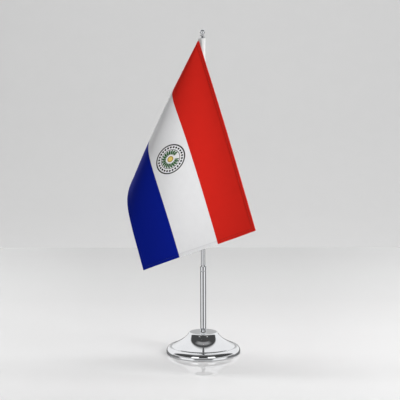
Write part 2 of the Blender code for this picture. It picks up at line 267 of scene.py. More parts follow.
FLAG_LENGTH, FLAG_WIDTH = 250.0 * MM, 150.0 * MM
RED = lin(213, 40, 31)
WHITE = lin(240, 240, 241)
BLUE = lin(12, 30, 140)
ROUNDEL_AT, ROUNDEL_R = (131.3, 75.0), 19.0     # mm from the hoist, mm from the top


def satin(name, bands=True):
    """Printed satin: three bands, a generic wreath roundel, weave and sheen."""
    mat, nt, p = new_material(name)
    uv = nt.n.new("ShaderNodeUVMap")
    uv.uv_map = "cloth"
    x, y, _ = nt.sep(uv.outputs[0])
    u = nt.math('MULTIPLY', x, FLAG_LENGTH / MM)
    v = nt.math('MULTIPLY', y, FLAG_WIDTH / MM)
    flat = nt.comb(u, v, 0.0)

    # threads: long satin floats along the length, short ones across it
    slub = nt.noise(nt.vec('MULTIPLY', flat, (0.035, 1.9, 1.0)), 1.0, 4.0, 0.65)
    weft = nt.noise(nt.vec('MULTIPLY', flat, (1.7, 0.05, 1.0)), 1.0, 3.0, 0.6)
    warp = nt.math('SINE', nt.math('MULTIPLY', v, 2 * math.pi / 0.42))
    pick = nt.math('SINE', nt.math('MULTIPLY', u, 2 * math.pi / 0.5))
    twill = nt.math('SINE', nt.math('MULTIPLY', nt.math('ADD', nt.math('MULTIPLY', u, 0.45), v),
                                    2 * math.pi / 0.84))
    weave = nt.math('ADD', nt.math('MULTIPLY', warp, 0.5),
                    nt.math('ADD', nt.math('MULTIPLY', pick, 0.22), nt.math('MULTIPLY', twill, 0.28)))

    bleed = nt.math('MULTIPLY', nt.math('SUBTRACT', nt.noise(flat, 0.9, 2.0), 0.5), 0.5)
    vb = nt.math('ADD', v, bleed)
    to_white = nt.span(vb, 49.8, 50.2)
    to_blue = nt.span(vb, 99.8, 100.2)
    color = nt.mix(to_blue, nt.mix(to_white, (*RED, 1.0), (*WHITE, 1.0)), (*BLUE, 1.0))

    # generic roundel: two dark rings, a dotted band, an open laurel wreath,
    # a gold disc
    du = nt.math('SUBTRACT', u, ROUNDEL_AT[0])
    dv = nt.math('SUBTRACT', v, ROUNDEL_AT[1])
    # printed as a slightly slanted oval
    dx = nt.math('SUBTRACT', nt.math('MULTIPLY', du, 1.111), nt.math('MULTIPLY', dv, 0.111))
    dy = nt.math('SUBTRACT', nt.math('MULTIPLY', dv, 1.012), nt.math('MULTIPLY', du, 0.111))
    r = nt.math('DIVIDE', nt.math('SQRT', nt.math('ADD', nt.math('MULTIPLY', dx, dx),
                                                  nt.math('MULTIPLY', dy, dy))), ROUNDEL_R)
    ang = nt.math('ARCTAN2', dx, nt.math('MULTIPLY', dy, -1.0))     # 0 = up on the flag

    def ring(centre, half, soft=0.012):
        d = nt.math('ABSOLUTE', nt.math('SUBTRACT', r, centre))
        return nt.span(d, half - soft, half + soft, 1.0, 0.0)

    def repeat(count, phase=0.0):
        t = nt.math('ADD', nt.math('MULTIPLY', ang, count / (2 * math.pi)), phase)
        return nt.math('SUBTRACT', nt.math('FRACT', nt.math('ADD', t, 100.0)), 0.5)

    ink = lin(42, 40, 38)
    color = nt.mix(ring(0.955, 0.042), color, (*ink, 1.0))
    color = nt.mix(ring(0.635, 0.020), color, (*lin(86, 84, 80), 1.0))
    # dotted band
    n_dots = 26
    tang = nt.math('MULTIPLY', repeat(n_dots), 2 * math.pi * 0.79 / n_dots)
    rad = nt.math('SUBTRACT', r, 0.79)
    dot = nt.math('SQRT', nt.math('ADD', nt.math('MULTIPLY', tang, tang), nt.math('MULTIPLY', rad, rad)))
    color = nt.mix(nt.span(dot, 0.058, 0.078, 1.0, 0.0), color, (*lin(46, 45, 44), 1.0))
    # wreath: two rows of leaves leaning along the ring, open at the top
    side = nt.math('SIGN', ang)
    leaf = None
    for n, radius, lean, size in ((20, 0.505, 1.2, 0.088), (20, 0.385, -1.0, 0.080)):
        shift = nt.math('MULTIPLY', side, nt.math('MULTIPLY', nt.math('SUBTRACT', r, radius), lean * 2.2))
        a2 = nt.math('ADD', nt.math('MULTIPLY', ang, n / (2 * math.pi)), shift)
        fr = nt.math('SUBTRACT', nt.math('FRACT', nt.math('ADD', a2, 100.25)), 0.5)
        tx = nt.math('MULTIPLY', fr, 2 * math.pi * radius / n)
        ty = nt.math('MULTIPLY', nt.math('SUBTRACT', r, radius), 0.62)
        d = nt.math('SQRT', nt.math('ADD', nt.math('MULTIPLY', tx, tx), nt.math('MULTIPLY', ty, ty)))
        one = nt.span(d, size * 0.62, size * 0.80, 1.0, 0.0)
        leaf = one if leaf is None else nt.math('MAXIMUM', leaf, one)
    gap = nt.span(nt.math('ABSOLUTE', ang), 0.30, 0.38)
    leaf = nt.math('MULTIPLY', leaf, gap)
    stem = nt.math('MULTIPLY', ring(0.455, 0.014), gap)
    green = nt.mix(nt.span(repeat(11), -0.5, 0.5), (*lin(22, 74, 34), 1.0), (*lin(58, 108, 52), 1.0))
    color = nt.mix(stem, color, (*lin(40, 80, 38), 1.0))
    color = nt.mix(leaf, color, green)
    # gold disc with a darker rim
    color = nt.mix(nt.span(r, 0.185, 0.215, 1.0, 0.0), color, (*lin(178, 138, 44), 1.0))
    color = nt.mix(nt.span(r, 0.125, 0.160, 1.0, 0.0), color, (*lin(236, 210, 110), 1.0))

    # printed cloth is never one flat tone
    mottle = nt.noise(flat, 0.11, 4.0, 0.6)
    tone = nt.math('ADD', nt.math('MULTIPLY', nt.span(slub, 0.25, 0.75), 0.55),
                   nt.math('MULTIPLY', nt.span(mottle, 0.3, 0.7), 0.45))
    color = nt.mix(nt.span(tone, 0.1, 0.9, 0.16, 0.0), color, nt.mix(1.0, color, (0.72, 0.72, 0.74), 'MULTIPLY'))
    # hems read a little denser, because the cloth is double there; the fold line of each hem also gets a painted shade
    # line
    edge = nt.math('MINIMUM', nt.math('MINIMUM', v, nt.math('SUBTRACT', FLAG_WIDTH / MM, v)),
                   nt.math('SUBTRACT', FLAG_LENGTH / MM, u))
    hem = nt.span(edge, 3.8, 4.3, 1.0, 0.0)
    crease = nt.span(nt.math('ABSOLUTE', nt.math('SUBTRACT', edge, 4.1)), 0.0, 0.5, 1.0, 0.0)
    # painted shade: the hem fold line is darkened as if shade fell in its dip
    color = nt.mix(nt.math('MULTIPLY', crease, 0.35), color, nt.mix(1.0, color, (0.55, 0.55, 0.58), 'MULTIPLY'))
    color = nt.mix(nt.math('MULTIPLY', hem, 0.10), color, nt.mix(1.0, color, (0.7, 0.7, 0.72), 'MULTIPLY'))

    nt.put(p.inputs["Base Color"], color)
    nt.put(p.inputs["Roughness"], nt.span(slub, 0.2, 0.8, 0.46, 0.60))
    p.inputs["Specular IOR Level"].default_value = 0.07
    p.inputs["Anisotropic"].default_value = 0.35
    height = nt.math('ADD', nt.math('MULTIPLY', weave, 0.30),
                     nt.math('ADD', nt.math('MULTIPLY', slub, 1.1), nt.math('MULTIPLY', weft, 0.7)))
    height = nt.math('SUBTRACT', height, nt.math('MULTIPLY', crease, 1.2))
    nt.put(p.inputs["Normal"], nt.bump(height, 0.35, 0.00008))
    return mat


def tape(name, color=lin(224, 224, 224), pitch=0.55):
    """Plain-woven white tape of the hoist sleeve."""
    mat, nt, p = new_material(name)
    uv = nt.n.new("ShaderNodeUVMap")
    uv.uv_map = "cloth"
    x, y, _ = nt.sep(uv.outputs[0])                 # mm round and along
    a = nt.math('SINE', nt.math('MULTIPLY', x, 2 * math.pi / pitch))
    b = nt.math('SINE', nt.math('MULTIPLY', y, 2 * math.pi / pitch))
    weave = nt.math('MULTIPLY', a, b)
    slub = nt.noise(uv.outputs[0], 1.6, 4.0, 0.65)
    nt.put(p.inputs["Base Color"], nt.mix(nt.span(nt.math('ADD', nt.math('MULTIPLY', weave, 0.3), slub), 0.2, 0.9),
                                          tuple(c * 0.84 for c in color), (*color, 1.0)))
    p.inputs["Roughness"].default_value = 0.72
    p.inputs["Specular IOR Level"].default_value = 0.3
    p.inputs["Sheen Weight"].default_value = 0.15
    nt.put(p.inputs["Normal"], nt.bump(nt.math('ADD', weave, nt.math('MULTIPLY', slub, 0.8)), 0.45, 0.00007))
    return mat


def thread(name, color):
    mat, nt, p = new_material(name)
    co = nt.coords()
    twist = nt.noise(co, 4200.0, 2.0, 0.5)
    nt.put(p.inputs["Base Color"], nt.mix(nt.span(twist, 0.3, 0.7), tuple(c * 0.7 for c in color), (*color, 1.0)))
    p.inputs["Roughness"].default_value = 0.55
    p.inputs["Sheen Weight"].default_value = 0.1
    nt.put(p.inputs["Normal"], nt.bump(twist, 0.5, 0.00004))
    return mat


# ---------------------------------------------------------------- meshes
def lathe(name, profile, segments=128, closed=True, sharp_deg=30.0):
    """Profile (r, z) down the outer side, turned about Z; ends on the axis
    when it is not closed."""
    pts = np.array(profile, float)
    n = len(pts)
    verts, faces = [], []
    index = np.full((segments, n), -1, int)
    poles = {}
    for j in range(n):
        if pts[j, 0] < 1e-9:
            poles[j] = len(verts)
            verts.append((0.0, 0.0, pts[j, 1]))
            index[:, j] = poles[j]
    for i in range(segments):
        a = math.tau * i / segments
        for j in range(n):
            if j in poles:
                continue
            index[i, j] = len(verts)
            verts.append((pts[j, 0] * math.cos(a), pts[j, 0] * math.sin(a), pts[j, 1]))
    last = n if closed else n - 1
    for i in range(segments):
        k = (i + 1) % segments
        for j in range(last):
            m = (j + 1) % n
            quad = [index[i, j], index[i, m], index[k, m], index[k, j]]
            out = []
            for q in quad:
                if not out or q != out[-1]:
                    out.append(int(q))
            if out[0] == out[-1]:
                out.pop()
            if len(set(out)) >= 3:
                faces.append(out)
    me = bpy.data.meshes.new(name)
    me.from_pydata(verts, [], faces)
    me.validate()
    me.shade_smooth()
    me.set_sharp_from_angle(angle=math.radians(sharp_deg))
    ob = bpy.data.objects.new(name, me)
    bpy.context.scene.collection.objects.link(ob)
    return ob


def rounded(points, closed=True, steps=5):
    """Points (r, z, fillet): each corner with a fillet is turned into an arc."""
    out = []
    n = len(points)
    for i, pt in enumerate(points):
        f = pt[2] if len(pt) > 2 else 0.0
        if f <= 0 or (not closed and i in (0, n - 1)):
            out.append((pt[0], pt[1]))
            continue
        p = Vector(pt[:2])
        a = (Vector(points[i - 1][:2]) - p)
        b = (Vector(points[(i + 1) % n][:2]) - p)
        la, lb = a.length, b.length
        a.normalize()
        b.normalize()
        half = math.acos(max(-1, min(1, a.dot(b)))) / 2
        t = min(f / math.tan(half), la * 0.48, lb * 0.48)
        rad = t * math.tan(half)
        mid = (a + b).normalized()
        centre = p + mid * (rad / math.sin(half))
        s, e = p + a * t - centre, p + b * t - centre
        a0, a1 = math.atan2(s.y, s.x), math.atan2(e.y, e.x)
        d = (a1 - a0 + math.pi) % math.tau - math.pi
        for k in range(steps + 1):
            w = a0 + d * k / steps
            out.append((centre.x + rad * math.cos(w), centre.y + rad * math.sin(w)))
    return out


def dress(ob, mat, body, nodes=()):
    ob.data.materials.clear()
    ob.data.materials.append(mat)
    if nodes:
        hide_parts(*nodes)
    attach(ob, body)
    return ob


# =====================================================================
# base
# =====================================================================
BASE_TOP, LAND_R, LAND_ROUND = 26.7 * MM, 16.2 * MM, 2.75 * MM
KNEE_R, KNEE_Z = 41.0 * MM, 8.6 * MM
LIP_R, LIP_Z, LIP_RX, LIP_RZ = 26.7 * MM, 1.2 * MM, 20.3 * MM, 10.44 * MM


def flank(r):
    if r > KNEE_R:
        return LIP_Z + LIP_RZ * math.sqrt(max(0.0, 1.0 - ((r - LIP_R) / LIP_RX) ** 2))
    crease = 0.45 * MM * math.exp(-((r - 40.1 * MM) / (0.5 * MM)) ** 2)      # sets the rim bead off
    return KNEE_Z + 0.5 * (KNEE_R - r) + 6.1 * MM * math.exp(-(r - 18.0 * MM) / (4.6 * MM)) - crease


def base_profile():
    pts = [(3.0 * MM, BASE_TOP), (LAND_R, BASE_TOP)]
    for k in range(1, 13):                       # rounded edge of the land
        a = math.radians(57.0 * k / 12)
        pts.append((LAND_R + LAND_ROUND * math.sin(a), BASE_TOP - LAND_ROUND * (1 - math.cos(a))))
    r0, z0 = pts[-1]
    r1 = r0 + 0.9 * MM
    for k in range(1, 5):                        # blend into the hollow flank
        w = k / 5
        r = r0 + (r1 - r0) * w
        pts.append((r, (1 - w) * (z0 - 1.54 * (r - r0)) + w * flank(r)))
    r_end = 40.35 * MM
    for k in range(97):
        r = r1 + (r_end - r1) * k / 96
        pts.append((r, flank(r)))
    for k in range(33):                          # rounded bead round the rim
        a = math.radians(-5.0 + (106.0 + 5.0) * k / 32)
        pts.append((40.9 * MM + 6.1 * MM * math.sin(a), 2.2 * MM + 6.3 * MM * math.cos(a)))
    pts.append((46.5 * MM, 0.42 * MM))
    inner_rim = 45.2 * MM
    pts += [(inner_rim, 0.75 * MM), (inner_rim - 0.2 * MM, 3.4 * MM)]
    for k in range(10):
        r = 43.0 * MM + (18.4 * MM - 43.0 * MM) * k / 9
        pts.append((r, flank(r + 0.5 * MM) - 1.25 * MM))
    pts += [(16.0 * MM, 25.4 * MM), (3.0 * MM, 25.5 * MM)]
    return pts


CHROME = chrome("chrome_plate")
CHROME_TUBE = chrome("chrome_tube", rough=0.06, smudge=0.3)
base = dress(lathe("base_dish", base_profile(), 192, sharp_deg=40.0), CHROME, "stand", ("base_shell",))
pad = dress(lathe("base_felt", rounded([(0.0, 1.4 * MM), (44.5 * MM, 1.4 * MM, 0.3 * MM), (44.5 * MM, 0.0, 0.25 * MM), (0.0, 0.0)],
                                       closed=False), 128, closed=False), felt("felt_green"), "stand", ("felt_pad",))

# =====================================================================
# mast
# =====================================================================
L_TOP = 105.1 * MM
lower = dress(lathe("mast_lower", rounded([
    (3.35 * MM, L_TOP), (3.7 * MM, L_TOP - 0.02 * MM, 0.3 * MM), (3.7 * MM, 27.0 * MM, 0.15 * MM), (3.3 * MM, 27.0 * MM),
    (3.3 * MM, L_TOP - 0.4 * MM)]), 96), CHROME_TUBE, "stand", ("lower_tube",))
C0, C1 = 106.0 * MM, 112.8 * MM
collar = dress(lathe("mast_collar", rounded([
    (2.85 * MM, C1, 0.1 * MM), (3.15 * MM, C1, 0.15 * MM), (3.62 * MM, C1 - 1.25 * MM, 0.3 * MM),
    (3.7 * MM, C1 - 1.9 * MM, 0.4 * MM), (3.7 * MM, C0, 0.3 * MM), (3.05 * MM, C0 + 0.02 * MM),
    (3.05 * MM, C0 - 3.6 * MM, 0.1 * MM), (2.85 * MM, C0 - 3.6 * MM)]), 96),
    chrome("chrome_collar", rough=0.07), "stand", ("tube_collar",))
U_TOP, U_LOW = 396.4 * MM, float(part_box("upper_tube")[0].z)
upper = dress(lathe("mast_upper", rounded([
    (2.1 * MM, U_TOP), (2.6 * MM, U_TOP, 0.25 * MM), (2.6 * MM, U_LOW, 0.2 * MM), (2.1 * MM, U_LOW)]), 96),
    CHROME_TUBE, "upper_mast", ("upper_tube",))
N0, BALL_Z, BALL_R = U_TOP + 0.3 * MM, 404.9 * MM, 3.3 * MM
neck = dress(lathe("finial_waist", rounded([
    (0.0, 401.3 * MM), (1.75 * MM, 401.3 * MM, 0.15 * MM), (1.9 * MM, 400.9 * MM, 0.3 * MM),
    (1.55 * MM, 400.0 * MM, 0.5 * MM), (1.55 * MM, 398.6 * MM, 0.5 * MM), (1.9 * MM, 397.9 * MM, 0.2 * MM),
    (1.9 * MM, N0, 0.12 * MM), (0.0, N0)], closed=False), 64, closed=False),
    chrome("chrome_neck", rough=0.08), "upper_mast", ("finial_neck",))
arc = [(BALL_R * math.sin(math.pi * k / 40), BALL_Z + BALL_R * math.cos(math.pi * k / 40)) for k in range(41)]
arc[0], arc[-1] = (0.0, BALL_Z + BALL_R), (0.0, BALL_Z - BALL_R)
ball = dress(lathe("finial_globe", arc, 64, closed=False), chrome("chrome_ball", rough=0.04, smudge=0.2),
             "upper_mast", ("finial_ball",))


def wire_ring(name, major, minor, centre, tilt, major_seg=96, minor_seg=20):
    verts, faces = [], []
    for i in range(major_seg):
        a = math.tau * i / major_seg
        for j in range(minor_seg):
            b = math.tau * j / minor_seg
            q = Vector(((major + minor * math.cos(b)) * math.cos(a), (major + minor * math.cos(b)) * math.sin(a),
                        minor * math.sin(b)))
            verts.append(tilt @ q + centre)
    for i in range(major_seg):
        for j in range(minor_seg):
            k, m = (i + 1) % major_seg, (j + 1) % minor_seg
            faces.append((i * minor_seg + j, k * minor_seg + j, k * minor_seg + m, i * minor_seg + m))
    me = bpy.data.meshes.new(name)
    me.from_pydata([tuple(v) for v in verts], [], faces)
    me.shade_smooth()
    ob = bpy.data.objects.new(name, me)
    bpy.context.scene.collection.objects.link(ob)
    return ob


ring = dress(wire_ring("neck_wire", 3.15 * MM, 0.38 * MM, Vector((0, 0, U_TOP + 3.0 * MM)),
                       Matrix.Rotation(math.radians(22.0), 3, 'Y')),
             metal("ring_steel", (0.20, 0.20, 0.21), 0.30, 900.0), "flag", ("neck_ring",))

# =====================================================================
# flag
# =====================================================================
FLAG_TOP = np.array([-4.85, -1.4, 395.0]) * MM
HEADING = -4.874
FOLD_AT, FOLD_BLEND = 0.827, 0.06
TURN_BACK, TURN_FRONT, TURN_RISE = -4.527, -2.051, 3.474
TURN_CREST, CREST_WIDTH = -3.114, 0.04
BOW_FOLD, BOW_TOP, BOW_SPAN = 4.65 * MM, 1.0 * MM, 250.0 * MM


def drape_table(steps=720):
    def rate(s):
        front = 1.0 / (1.0 + math.exp(-(s - FOLD_AT) / FOLD_BLEND))
        rise = TURN_RISE * (s - FOLD_AT) / (math.pi / 2 - FOLD_AT)
        crest = TURN_CREST * math.exp(-((s - FOLD_AT) / CREST_WIDTH) ** 2)
        return TURN_BACK * (1.0 - front) + (TURN_FRONT + rise) * front + crest

    def slope(d, t, s):
        return t, -d + rate(s) * np.cross(d, t)

    h = (math.pi / 2) / steps
    d = np.array([0.0, 0.0, -1.0])
    t = np.array([math.cos(HEADING), math.sin(HEADING), 0.0])
    table = [d]
    for i in range(steps):
        s = i * h
        a1, b1 = slope(d, t, s)
        a2, b2 = slope(d + a1 * h / 2, t + b1 * h / 2, s + h / 2)
        a3, b3 = slope(d + a2 * h / 2, t + b2 * h / 2, s + h / 2)
        a4, b4 = slope(d + a3 * h, t + b3 * h, s + h)
        d = d + (a1 + 2 * a2 + 2 * a3 + a4) * h / 6
        d = d / np.linalg.norm(d)
        t = t + (b1 + 2 * b2 + 2 * b3 + b4) * h / 6
        t = t - d * d.dot(t)
        t = t / np.linalg.norm(t)
        table.append(d)
    return np.array(table)


TABLE = drape_table()
TABLE_S = np.linspace(0.0, math.pi / 2, len(TABLE))


def drape(u, v):
    """Points of the hanging cloth for arrays of flat positions in metres."""
    u, v = np.asarray(u, float), np.asarray(v, float)
    r = np.hypot(u, v)
    phi = np.arctan2(u, np.maximum(v, 1e-12))
    d = np.stack([np.interp(phi, TABLE_S, TABLE[:, k]) for k in range(3)], -1)
    d /= np.linalg.norm(d, axis=-1, keepdims=True)
    p = FLAG_TOP + r[..., None] * d
    # the billow: the straight lines from the top corner bow sideways a little
    bow = np.sin(np.pi * np.minimum(r / BOW_SPAN, 1.35))
    at_fold = np.exp(-((phi - 0.80) / 0.30) ** 2)
    at_top = np.clip((phi - 0.80) / (math.pi / 2 - 0.80), 0.0, 1.0) ** 1.5
    p[..., 0] += bow * (BOW_TOP * at_top - BOW_FOLD * at_fold)
    # soft flutes that run down the cloth from the top corner
    q = np.clip(r / (290 * MM), 0, 1)
    flute = (0.55 * np.sin(phi * 9.0 + 0.6) + 0.30 * np.sin(phi * 17.0 + 1.9 + 2.2 * q)
             + 0.18 * np.sin(phi * 29.0 + 0.3 - 3.0 * q))
    calm = np.sin(np.clip(phi / (math.pi / 2), 0, 1) * math.pi) ** 0.5
    p[..., 1] += 0.9 * MM * flute * q ** 1.4 * calm
    return p


COLUMNS, ROWS = 300, 170
START = 0.006


def fan():
    corner = math.atan2(FLAG_LENGTH, FLAG_WIDTH)
    split = int(COLUMNS * 0.66)
    phi = np.concatenate([np.linspace(0, corner, split + 1), np.linspace(corner, math.pi / 2, COLUMNS - split + 1)[1:]])
    reach = np.where(phi <= corner, FLAG_WIDTH / np.cos(np.minimum(phi, corner)),
                     FLAG_LENGTH / np.maximum(np.sin(phi), 1e-9))
    t = START + (1 - START) * np.linspace(0, 1, ROWS + 1)
    r = reach[:, None] * t[None, :]
    return r * np.sin(phi)[:, None], r * np.cos(phi)[:, None]


def edge_distance(u, v):
    """Distance to the hemmed edges: top, bottom and fly."""
    return np.minimum(np.minimum(v, FLAG_WIDTH - v), FLAG_LENGTH - u)


def hem_thickness(u, v):
    e = edge_distance(u, v) / MM
    s = 1.0 / (1.0 + np.exp(np.clip((e - 4.1) / 0.16, -40, 40)))
    return (0.34 + 0.42 * s) * MM


def make_cloth():
    U, V = fan()
    P = drape(U, V)
    eps = 0.25 * MM
    Pu = (drape(U + eps, V) - drape(np.maximum(U - eps, 0), V))
    Pv = (drape(U, V + eps) - drape(U, np.maximum(V - eps, 0)))
    N = np.cross(Pu, Pv)
    N /= np.maximum(np.linalg.norm(N, axis=-1, keepdims=True), 1e-15)
    T = hem_thickness(U, V)[..., None]
    front, back = P + N * T / 2, P - N * T / 2
    m, n = U.shape
    verts = np.concatenate([front.reshape(-1, 3), back.reshape(-1, 3)])
    flat = np.stack([U / FLAG_LENGTH, V / FLAG_WIDTH], -1).reshape(-1, 2)
    flat = np.concatenate([flat, flat])
    off = m * n
    faces = []
    for i in range(m - 1):
        for j in range(n - 1):
            a, b, c, d = i * n + j, (i + 1) * n + j, (i + 1) * n + j + 1, i * n + j + 1
            faces.append((a, b, c, d))
            faces.append((off + a, off + d, off + c, off + b))
    rim = [i * n for i in range(m)] + [(m - 1) * n + j for j in range(1, n)]
    rim += [i * n + n - 1 for i in range(m - 2, -1, -1)] + [j for j in range(n - 2, 0, -1)]
    for a, b in zip(rim, rim[1:] + rim[:1]):
        faces.append((b, a, off + a, off + b))
    me = bpy.data.meshes.new("flag_satin")
    me.from_pydata([tuple(v) for v in verts], [], faces)
    me.update()
    layer = me.uv_layers.new(name="cloth")
    loop_verts = np.zeros(len(me.loops), dtype=np.int64)
    me.loops.foreach_get("vertex_index", loop_verts)
    layer.data.foreach_set("uv", flat[loop_verts].astype(np.float32).ravel())
    me.shade_smooth()
    me.set_sharp_from_angle(angle=math.radians(60))
    bm = bmesh.new()
    bm.from_mesh(me)
    if bm.calc_volume(signed=True) < 0:
        bmesh.ops.reverse_faces(bm, faces=bm.faces[:])
        bm.to_mesh(me)
    bm.free()
    ob = bpy.data.objects.new("flag_satin", me)
    bpy.context.scene.collection.objects.link(ob)
    return ob


cloth = dress(make_cloth(), satin("printed_satin"), "flag", ("flag_cloth",))
cloth.visible_glossy = False


def capsule_rows(name, paths, radius, mats):
    """Short thread bodies. Each path is (a, b, normal, material index)."""
    verts, faces, index = [], [], []
    rings = ((0.0, 0.35), (0.12, 0.8), (0.5, 1.0), (0.88, 0.8), (1.0, 0.35))
    for a, b, nrm, mi in paths:
        a, b, nrm = Vector(a), Vector(b), Vector(nrm).normalized()
        axis = b - a
        side = axis.normalized().cross(nrm).normalized()
        start = len(verts)
        for w, s in rings:
            c = a + axis * w + nrm * radius * 0.55 * math.sin(math.pi * w)
            for k in range(6):
                t = math.tau * k / 6
                verts.append(c + (side * math.cos(t) + nrm * math.sin(t)) * radius * s)
        for q in range(len(rings) - 1):
            for k in range(6):
                m = (k + 1) % 6
                faces.append((start + q * 6 + k, start + q * 6 + m, start + (q + 1) * 6 + m, start + (q + 1) * 6 + k))
                index.append(mi)
        faces.append(tuple(start + k for k in reversed(range(6))))
        faces.append(tuple(start + (len(rings) - 1) * 6 + k for k in range(6)))
        index += [mi, mi]
    me = bpy.data.meshes.new(name)
    me.from_pydata([tuple(v) for v in verts], [], faces)
    for mat in mats:
        me.materials.append(mat)
    me.polygons.foreach_set("material_index", index)
    me.shade_smooth()
    bm = bmesh.new()
    bm.from_mesh(me)
    bmesh.ops.recalc_face_normals(bm, faces=bm.faces[:])
    bm.to_mesh(me)
    bm.free()
    ob = bpy.data.objects.new(name, me)
    bpy.context.scene.collection.objects.link(ob)
    return ob


def hem_stitches():
    inset, pitch, fill = 3.3 * MM, 2.6 * MM, 0.68
    lines = []
    n = int((FLAG_LENGTH - 2 * inset) / pitch)
    for k in range(2, n):
        u = k * pitch
        lines.append(((u, inset), (u + pitch * fill, inset)))
        lines.append(((u, FLAG_WIDTH - inset), (u + pitch * fill, FLAG_WIDTH - inset)))
    n = int((FLAG_WIDTH - 2 * inset) / pitch)
    for k in range(n):
        v = inset + k * pitch
        lines.append(((FLAG_LENGTH - inset, v), (FLAG_LENGTH - inset, v + pitch * fill)))
    out = []
    for (u0, v0), (u1, v1) in lines:
        a, b = drape([u0, u1], [v0, v1])
        um, vm, e = (u0 + u1) / 2, (v0 + v1) / 2, 0.3 * MM
        pu = drape([um + e], [vm])[0] - drape([um - e], [vm])[0]
        pv = drape([um], [vm + e])[0] - drape([um], [vm - e])[0]
        nrm = np.cross(pu, pv)
        nrm /= np.linalg.norm(nrm)
        th = float(hem_thickness(um, vm)) / 2
        mi = 0 if vm < 50 * MM else (1 if vm < 100 * MM else 2)
        for s in (1.0, -1.0):
            out.append((a + nrm * s * th, b + nrm * s * th, nrm * s, mi))
    return out


stitches = capsule_rows("hem_stitching", hem_stitches(), 0.13 * MM,
                        [thread("thread_red", lin(196, 40, 34)), thread("thread_white", lin(232, 232, 230)),
                         thread("thread_blue", lin(20, 36, 120))])
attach(stitches, "flag")


def make_hoist():
    """White tape sleeve: round the mast, drawn to a seam where the cloth joins."""
    z_low, z_high = 245.0 * MM, 397.3 * MM
    seam = math.atan2(FLAG_TOP[1], FLAG_TOP[0])
    around, along = 72, 130
    rows = []
    zs = list(np.linspace(z_low, z_high - 0.9 * MM, along))
    for z in zs:
        rows.append((z, 1.0))
    for k in range(1, 7):                    # the top is turned in to the neck
        w = k / 6
        rows.append((z_high - 0.9 * MM + 0.9 * MM * math.sin(w * math.pi / 2),
                     1.0 - 0.42 * (1 - math.cos(w * math.pi / 2))))
    verts, uvs = [], []

    def outline(a, z):
        d = (a - seam + math.pi) % math.tau - math.pi
        tail = math.exp(-(abs(d) / 0.24) ** 1.35)
        pucker = 0.05 * math.sin(z / MM * 2 * math.pi / 2.6) * math.exp(-(d / 0.9) ** 2)
        wave = 0.07 * math.sin(z / MM / 9.0 + 2.0 * a) + 0.04 * math.sin(z / MM / 4.1 + 3.0 * a + 1.0)
        return 3.78 + 1.55 * tail + pucker + wave

    for layer in (0, 1):
        for z, s in rows:
            for k in range(around):
                a = math.tau * k / around + seam
                ro = outline(a, z) * MM
                r = ro * s if layer == 0 else max(ro * s - 0.55 * MM, 2.0 * MM)
                zz = z if layer == 0 else z - (0.5 * MM if s < 1.0 else 0.0)
                verts.append((r * math.cos(a), r * math.sin(a), zz))
                uvs.append((3.9 * (a - seam), z / MM))
    nrow = len(rows)
    off = nrow * around
    faces = []
    for i in range(nrow - 1):
        for k in range(around):
            m = (k + 1) % around
            a, b, c, d = i * around + k, i * around + m, (i + 1) * around + m, (i + 1) * around + k
            faces.append((a, b, c, d))
            faces.append((off + a, off + d, off + c, off + b))
    for k in range(around):
        m = (k + 1) % around
        faces.append((m, k, off + k, off + m))
        t = (nrow - 1) * around
        faces.append((t + k, t + m, off + t + m, off + t + k))
    me = bpy.data.meshes.new("hoist_tape")
    me.from_pydata(verts, [], faces)
    me.update()
    layer = me.uv_layers.new(name="cloth")
    uv = np.array(uvs, float)
    lv = np.zeros(len(me.loops), dtype=np.int64)
    me.loops.foreach_get("vertex_index", lv)
    layer.data.foreach_set("uv", uv[lv].astype(np.float32).ravel())
    me.shade_smooth()
    ob = bpy.data.objects.new("hoist_tape", me)
    bpy.context.scene.collection.objects.link(ob)
    return ob


hoist = dress(make_hoist(), tape("hoist_tape_white"), "flag", ("hoist_sleeve",))

seam_paths = []
seam_dir = Vector((FLAG_TOP[0], FLAG_TOP[1], 0.0)).normalized()
seam_side = Vector((-seam_dir.y, seam_dir.x, 0.0))
for k in range(57):
    z = 246.4 * MM + k * 2.6 * MM
    for s in (1.0, -1.0):
        c = seam_dir * 4.35 * MM + seam_side * s * 0.62 * MM
        seam_paths.append((c + Vector((0, 0, z)), c + Vector((0, 0, z + 1.75 * MM)), seam_side * s, 0))
seam_thread = capsule_rows("hoist_stitching", seam_paths, 0.13 * MM, [thread("thread_hoist", lin(226, 226, 222))])
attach(seam_thread, "flag")

# =====================================================================
# carried-over CAD pieces
# =====================================================================
KEPT = {
    "base_plate": metal("plate_zinc", (0.42, 0.43, 0.44), 0.42, 260.0),
    "base_ballast": cast_iron("ballast_iron"),
    "foot_screw": metal("screw_zinc", (0.55, 0.56, 0.58), 0.34, 500.0, turned=True),
    "spring_washer": metal("spring_steel", (0.22, 0.22, 0.24), 0.38, 700.0),
    "flat_washer": metal("washer_zinc", (0.58, 0.59, 0.60), 0.34, 500.0, turned=True),
    "tube_plug": metal("plug_brass", (0.66, 0.46, 0.17), 0.32, 420.0, turned=True),
    "friction_sleeve": metal("grip_brass", (0.68, 0.48, 0.19), 0.28, 420.0, turned=True),
    "slider_core": plastic("core_nylon", (0.66, 0.65, 0.60)),
    "finial_stem": metal("stem_steel", (0.45, 0.46, 0.47), 0.33, 420.0, turned=True),
}
for node, mat in KEPT.items():
    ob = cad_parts[node]
    if not ob.material_slots:
        ob.data.materials.append(mat)
    for s in ob.material_slots:
        s.link = 'OBJECT'
        s.material = mat

